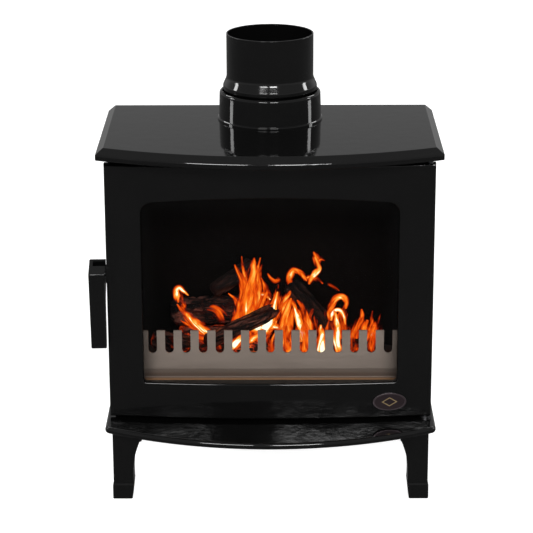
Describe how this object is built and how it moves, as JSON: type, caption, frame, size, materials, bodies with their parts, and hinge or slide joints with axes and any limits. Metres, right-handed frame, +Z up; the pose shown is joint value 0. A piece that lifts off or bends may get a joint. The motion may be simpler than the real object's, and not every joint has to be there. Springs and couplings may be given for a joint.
{
  "type": "wood burning stove",
  "caption": "Free-standing cast iron room heater with a glazed side-hung door, bowed top plate, ash lip, four legs and a top flue pipe stub.",
  "frame": {"origin": "on the floor under the middle of the stove's bounding box", "axes": "+Z up, the door faces -Y, the door handle is on the -X side and the hinges on the +X side"},
  "size_m": [0.506, 0.3395, 0.666],
  "materials": {
    "black_enamel": "gloss",
    "pipe_enamel": "gloss",
    "bare_cast_iron": "matte",
    "guard_steel": "satin",
    "sheet_steel": "matte",
    "zinc_steel": "satin",
    "fire_glass": "gloss",
    "sooted_brick": "matte",
    "seal_rope": "matte",
    "badge_metal": "satin",
    "log_wood": "matte",
    "embers": "matte"
  },
  "bodies": {
    "root": {"base_plate": "black_enamel", "leg_front_left": "black_enamel", "leg_front_right": "black_enamel", "leg_back_left": "black_enamel", "leg_back_right": "black_enamel", "leg_bolts": "zinc_steel", "side_panel_left": "black_enamel", "side_panel_right": "black_enamel", "back_panel": "black_enamel", "rear_blanking_plate": "black_enamel", "blanking_plate_bolts": "zinc_steel", "front_frame": "black_enamel", "top_plate": "black_enamel", "tie_rods": "zinc_steel", "tie_rod_nuts": "zinc_steel", "flue_collar": "black_enamel", "collar_bolts": "zinc_steel", "flue_pipe": "pipe_enamel", "fire_brick_left": "sooted_brick", "fire_brick_right": "sooted_brick", "fire_brick_rear": "sooted_brick", "baffle_plate": "sooted_brick", "grate_frame": "bare_cast_iron", "grate": "bare_cast_iron", "ash_pan": "sheet_steel", "log_guard": "guard_steel", "airwash_deflector": "sheet_steel", "ember_bed": "embers", "log_back": "log_wood", "log_under": "log_wood", "log_leaning": "log_wood", "log_front_left": "log_wood", "log_diagonal": "log_wood", "log_right": "log_wood", "log_front_right": "log_wood", "slide_guides": "sheet_steel", "hinge_pin_upper": "zinc_steel", "hinge_pin_lower": "zinc_steel", "hinge_washer": "zinc_steel", "latch_keeper_pin": "zinc_steel"},
    "door": {"door": "black_enamel", "door_glass": "fire_glass", "glass_seal": "seal_rope", "glass_clips": "sheet_steel", "glass_clip_screws": "zinc_steel", "door_rope_seal": "seal_rope", "badge": "badge_metal"},
    "latch": {"door_handle": "black_enamel", "latch_shaft": "zinc_steel", "latch_hook": "sheet_steel"},
    "primary_air": {"primary_air_slide": "sheet_steel", "primary_air_knob": "zinc_steel"},
    "airwash_air": {"airwash_slide": "sheet_steel", "airwash_knob": "zinc_steel"}
  },
  "joints": [
    {"name": "door_hinge", "type": "hinge", "parent": "root", "child": "door", "pos_m": [0.235, -0.06625, 0.32], "axis": [0, 0, 1], "range_deg": [0, 110]},
    {"name": "latch_turn", "type": "hinge", "parent": "door", "child": "latch", "pos_m": [-0.2375, -0.06475, 0.346], "axis": [-1, 0, 0], "range_deg": [0, 45]},
    {"name": "primary_air_pull", "type": "slide", "parent": "root", "child": "primary_air", "axis": [0, -1, 0], "range_m": [0, 0.02]},
    {"name": "airwash_pull", "type": "slide", "parent": "root", "child": "airwash_air", "axis": [0, -1, 0], "range_m": [0, 0.02]}
  ]
}
